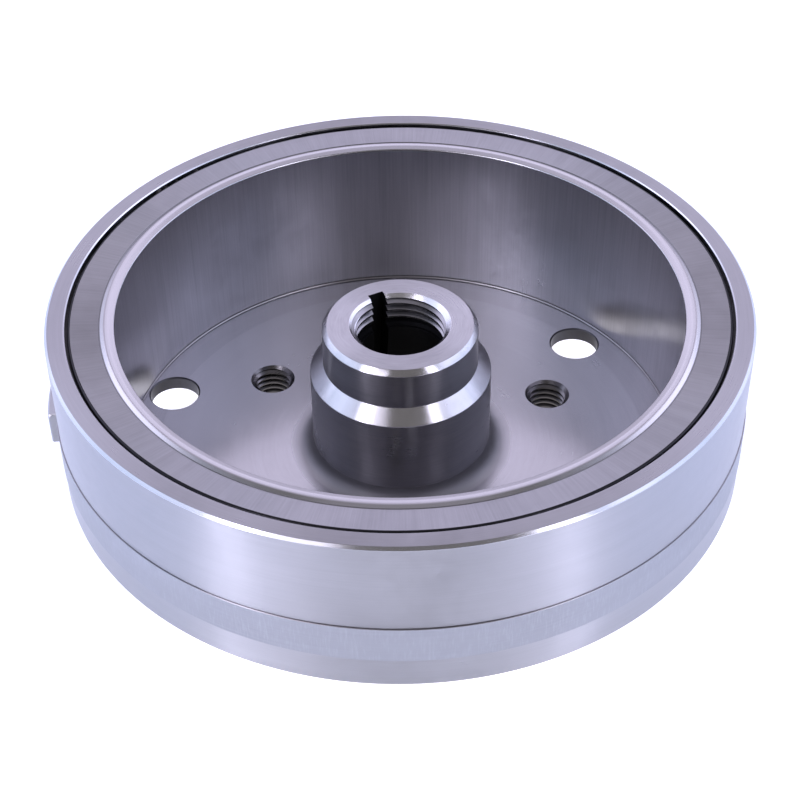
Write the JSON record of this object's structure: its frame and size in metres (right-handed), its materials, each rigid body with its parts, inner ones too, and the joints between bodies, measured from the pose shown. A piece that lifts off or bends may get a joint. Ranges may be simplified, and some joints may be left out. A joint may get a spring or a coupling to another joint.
{
  "type": "magneto flywheel",
  "caption": "Outer-rotor magneto flywheel: steel cup with a ring of covered magnets, a pickup lug outside and a keyed taper boss with puller thread.",
  "frame": {"origin": "centre of the boss flange's back face, on the crankshaft axis", "axes": "+Z along the crankshaft axis, out of the open side of the cup towards the puller; +X across the cup, 24 degrees clockwise of a tapped hole seen from the open side"},
  "size_m": [0.13, 0.1284, 0.042],
  "materials": {
    "turned_steel": "fine turned, lightly oiled",
    "machined_boss": "turned and faced",
    "weld_metal": "as welded, dull",
    "pressed_stainless": "pressed, brushed across the flange",
    "black_resin": "matt cast resin",
    "moulded_seat": "moulded, matt",
    "ferrite": "sintered, matt dark grey"
  },
  "bodies": {
    "root": {"rotor_cup": "turned_steel", "hub_boss": "machined_boss", "boss_weld": "weld_metal", "magnet_cover": "pressed_stainless", "potting_ring": "black_resin", "magnet_seat": "moulded_seat", "magnet_01": "ferrite", "magnet_02": "ferrite", "magnet_03": "ferrite", "magnet_04": "ferrite", "magnet_05": "ferrite", "magnet_06": "ferrite", "magnet_07": "ferrite", "magnet_08": "ferrite", "magnet_09": "ferrite", "magnet_10": "ferrite", "magnet_11": "ferrite", "magnet_12": "ferrite", "magnet_spacer_01": "moulded_seat", "magnet_spacer_02": "moulded_seat", "magnet_spacer_03": "moulded_seat", "magnet_spacer_04": "moulded_seat", "magnet_spacer_05": "moulded_seat", "magnet_spacer_06": "moulded_seat", "magnet_spacer_07": "moulded_seat", "magnet_spacer_08": "moulded_seat", "magnet_spacer_09": "moulded_seat", "magnet_spacer_10": "moulded_seat", "magnet_spacer_11": "moulded_seat", "magnet_spacer_12": "moulded_seat"}
  },
  "joints": []
}
